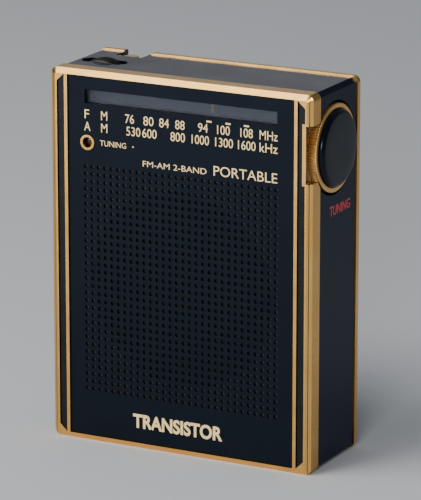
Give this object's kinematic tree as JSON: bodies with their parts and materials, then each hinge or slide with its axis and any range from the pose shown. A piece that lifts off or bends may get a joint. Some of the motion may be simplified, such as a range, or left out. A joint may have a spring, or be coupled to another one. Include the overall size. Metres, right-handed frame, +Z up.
{
  "type": "transistor pocket radio",
  "caption": "Upright pocket radio: gold-edged perforated front with dial window, side tuning knob, top volume wheel, rod antenna, hinged battery door.",
  "frame": {"origin": "on the surface that the radio stands on, at the middle of the case's flat underside", "axes": "+X to the radio's right as seen from the front, -Y towards the front, +Z up"},
  "size_m": [0.0683, 0.025, 0.0885],
  "materials": {
    "gold_plate": "satin gold electroplate on ABS",
    "panel_metal": "satin black anodised perforated sheet",
    "gloss_black": "glossy black ABS",
    "inlay_black": "black inlay strip",
    "inner_black": "matte black ABS",
    "window": "smoked acrylic",
    "amber": "dark amber lamp",
    "needle": "orange-gold lacquer",
    "cord": "waxed braided cord",
    "brass": "turned brass",
    "steel": "plated steel",
    "chrome": "chromed tube",
    "screen_cloth": "black dust cloth",
    "paper_cone": "treated paper",
    "magnet": "ferrite and plated yoke",
    "board": "laminate board",
    "ferrite": "sintered ferrite",
    "copper": "enamelled copper winding",
    "cell": "plain labelled zinc can"
  },
  "bodies": {
    "case": {"amplifier_chip": "inner_black", "back_cover": "inner_black", "band_switch": "inner_black", "battery_tray": "inner_black", "board_posts": "brass", "board_screws": "steel", "body_shell": "gloss_black", "capacitor_bracket": "steel", "case_screws": "steel", "cell_lower": "cell", "cell_upper": "cell", "circuit_board": "board", "contact_plates": "steel", "contact_spring_lower": "steel", "contact_spring_upper": "steel", "dial_cord": "cord", "dial_scale_plate": "inner_black", "dial_window": "window", "earphone_socket": "inner_black", "electrolytics": "inner_black", "ferrite_bar": "ferrite", "ferrite_clips": "inner_black", "ferrite_coil": "copper", "front_bezel": "gold_plate", "front_frame": "inner_black", "front_panel": "panel_metal", "grille_screen": "screen_cloth", "inlay_left": "inlay_black", "inlay_right": "inlay_black", "lamp_ring": "gold_plate", "mast_clamps": "steel", "mast_outer_tube": "chrome", "pulley_clips": "steel", "rear_frame": "gold_plate", "speaker_basket": "steel", "speaker_coil": "copper", "speaker_cone": "paper_cone", "speaker_magnet": "magnet", "tuning_cans": "steel", "tuning_capacitor": "inner_black", "tuning_lamp": "amber", "volume_pot": "inner_black"},
    "knob": {"knob_ring": "gold_plate", "knob_cap": "gloss_black", "knob_screw": "steel", "dial_drum": "inner_black", "tuning_shaft": "brass"},
    "pointer": {"dial_pointer": "needle"},
    "pulley_1": {"cord_pulley_1": "brass"},
    "pulley_2": {"cord_pulley_2": "brass"},
    "pulley_3": {"cord_pulley_3": "brass"},
    "pulley_4": {"cord_pulley_4": "brass"},
    "volume": {"volume_wheel": "inner_black", "volume_screw": "steel", "volume_shaft": "brass"},
    "band": {"band_slider": "inner_black"},
    "door": {"battery_door": "inner_black"},
    "mast_1": {"mast_section_lower": "chrome"},
    "mast_2": {"mast_section_middle": "chrome"},
    "mast_3": {"mast_tip_rod": "gold_plate"}
  },
  "joints": [
    {"name": "tuning_knob", "type": "hinge", "parent": "case", "child": "knob", "pos_m": [0.032, -0.0004, 0.0738], "axis": [1, 0, 0], "range_deg": [-116.88, 66.7]},
    {"name": "pointer_slide", "type": "slide", "parent": "case", "child": "pointer", "axis": [1, 0, 0], "range_m": [-0.0186, 0.0107]},
    {"name": "pulley_1_spin", "type": "hinge", "parent": "case", "child": "pulley_1", "pos_m": [-0.0273, -0.00942, 0.08378], "axis": [0, 1, 0], "range_deg": [-867.1, 496.1]},
    {"name": "pulley_2_spin", "type": "hinge", "parent": "case", "child": "pulley_2", "pos_m": [0.02693, -0.00942, 0.08378], "axis": [0, 1, 0], "range_deg": [-867.1, 496.1]},
    {"name": "pulley_3_spin", "type": "hinge", "parent": "case", "child": "pulley_3", "pos_m": [0.02693, -0.00942, 0.06742], "axis": [0, 1, 0], "range_deg": [-867.1, 496.1]},
    {"name": "pulley_4_spin", "type": "hinge", "parent": "case", "child": "pulley_4", "pos_m": [-0.0273, -0.00942, 0.06742], "axis": [0, 1, 0], "range_deg": [-867.1, 496.1]},
    {"name": "volume_wheel", "type": "hinge", "parent": "case", "child": "volume", "pos_m": [-0.0256, -0.0007, 0.082], "axis": [0, 1, 0], "range_deg": [0, 290]},
    {"name": "band_slide", "type": "slide", "parent": "case", "child": "band", "axis": [0, 0, 1], "range_m": [0, 0.003]},
    {"name": "battery_door", "type": "hinge", "parent": "case", "child": "door", "pos_m": [0, 0.0113, 0.0046], "axis": [-1, 0, 0], "range_deg": [0, 85]},
    {"name": "mast_pull_1", "type": "slide", "parent": "case", "child": "mast_1", "axis": [0, 0, 1], "range_m": [0, 0.046]},
    {"name": "mast_pull_2", "type": "slide", "parent": "mast_1", "child": "mast_2", "axis": [0, 0, 1], "range_m": [0, 0.046]},
    {"name": "mast_pull_3", "type": "slide", "parent": "mast_2", "child": "mast_3", "axis": [0, 0, 1], "range_m": [0, 0.046]}
  ],
  "couplings": [
    {"joint": "pointer_slide", "follows": "tuning_knob", "m_per_rad": 0.00902},
    {"joint": "pulley_1_spin", "follows": "tuning_knob", "ratio": 7.3934},
    {"joint": "pulley_2_spin", "follows": "tuning_knob", "ratio": 7.3934},
    {"joint": "pulley_3_spin", "follows": "tuning_knob", "ratio": 7.3934},
    {"joint": "pulley_4_spin", "follows": "tuning_knob", "ratio": 7.3934}
  ]
}
